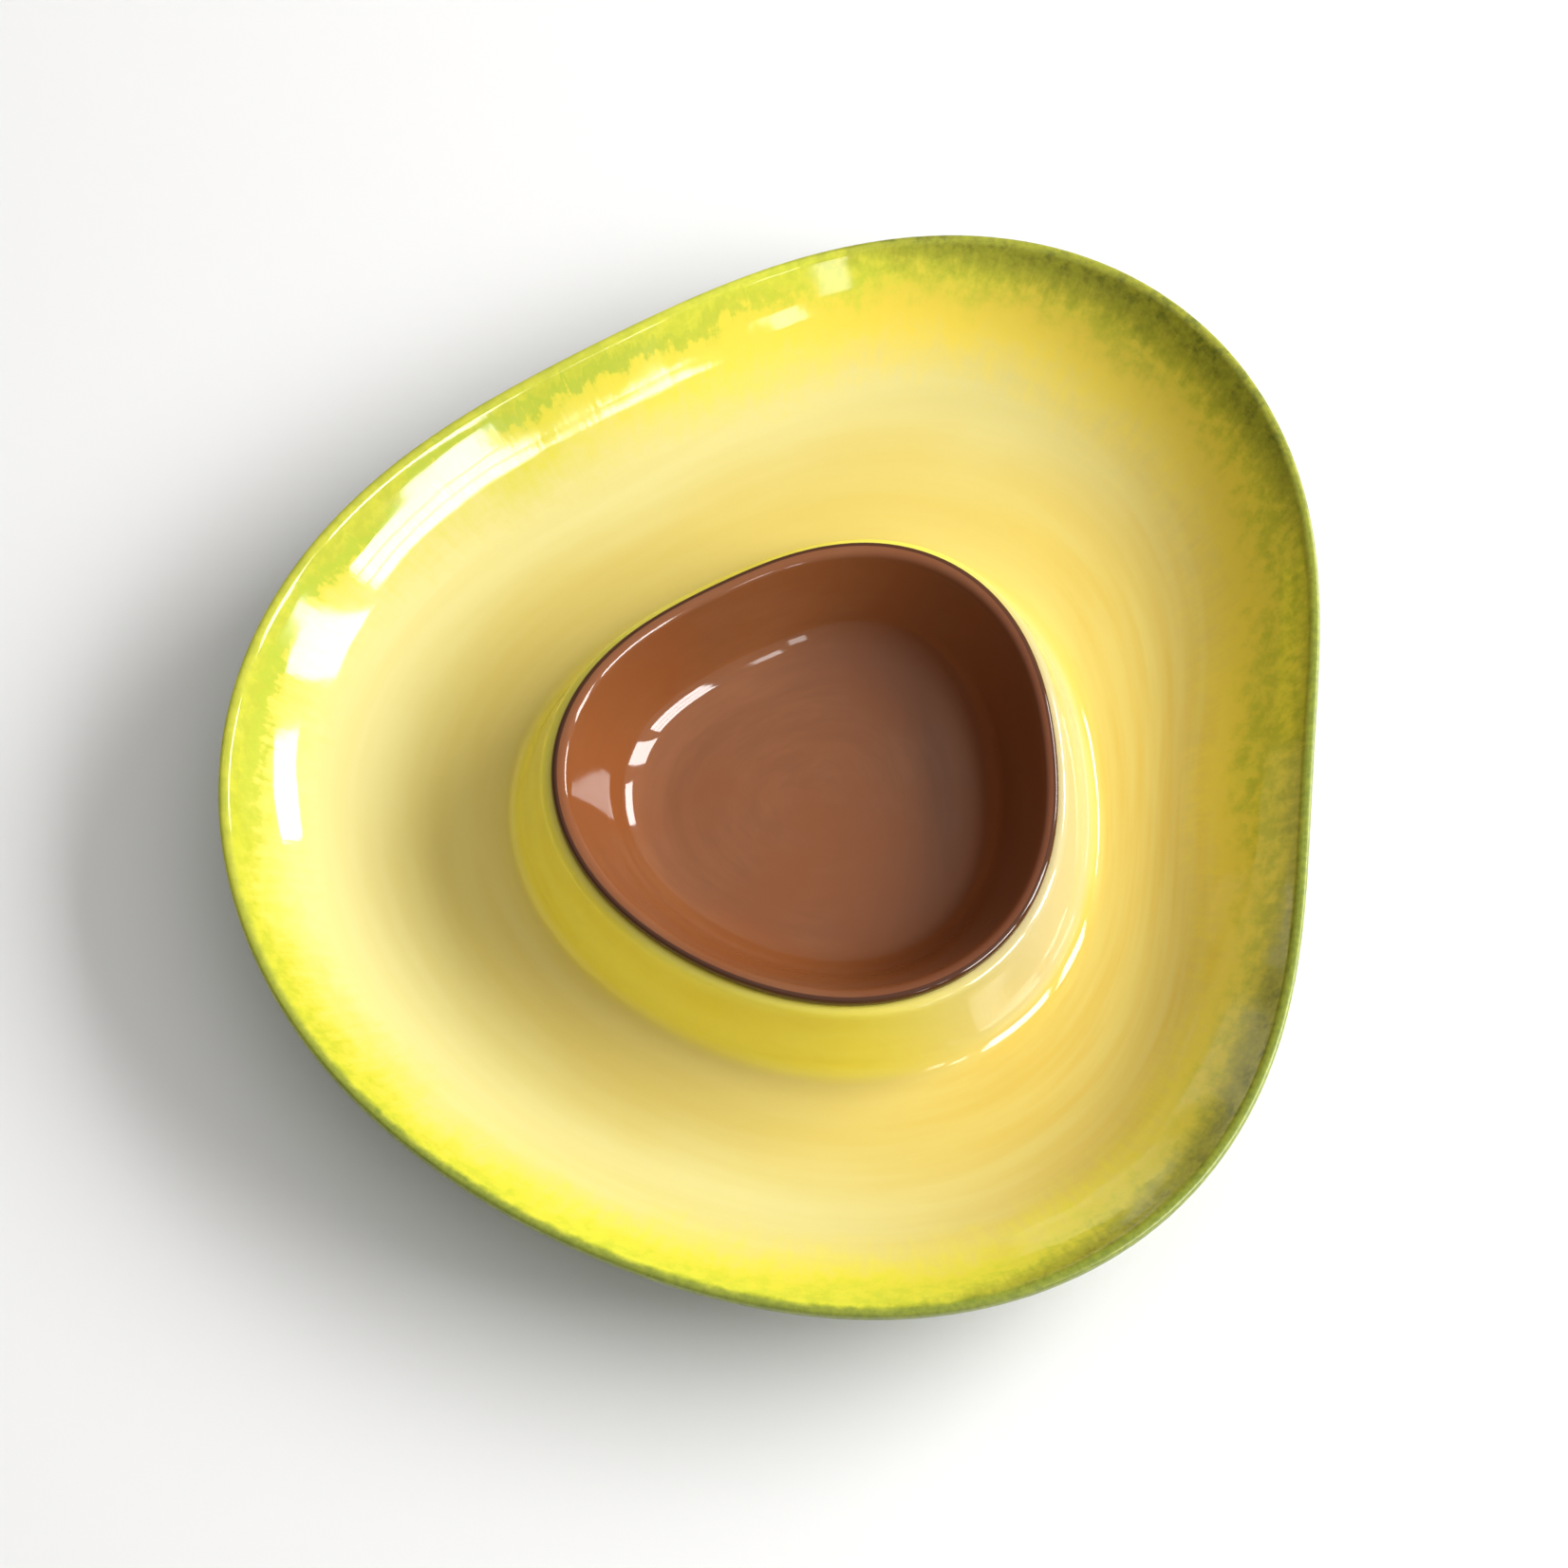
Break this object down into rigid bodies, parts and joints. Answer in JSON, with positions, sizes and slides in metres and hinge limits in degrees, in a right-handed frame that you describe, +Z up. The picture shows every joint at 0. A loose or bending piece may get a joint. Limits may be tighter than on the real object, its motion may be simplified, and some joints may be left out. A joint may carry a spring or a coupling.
{
  "type": "chip and dip server",
  "caption": "Avocado-shaped stoneware platter with a raised lip, a chip trough and a collar that holds a lift-out brown dip bowl.",
  "frame": {"origin": "middle of the platter's footprint, on the table under it", "axes": "+Z up, +Y towards the narrow stem end of the avocado outline"},
  "size_m": [0.331, 0.358, 0.0445],
  "materials": {
    "flesh_glaze": "gloss",
    "pit_glaze": "gloss"
  },
  "bodies": {
    "platter": {"platter": "flesh_glaze"},
    "dip_bowl": {"dip_bowl": "pit_glaze"}
  },
  "joints": [
    {"name": "dip_bowl_lift", "type": "slide", "parent": "platter", "child": "dip_bowl", "axis": [0, 0, 1], "range_m": [0, 0.06]}
  ]
}
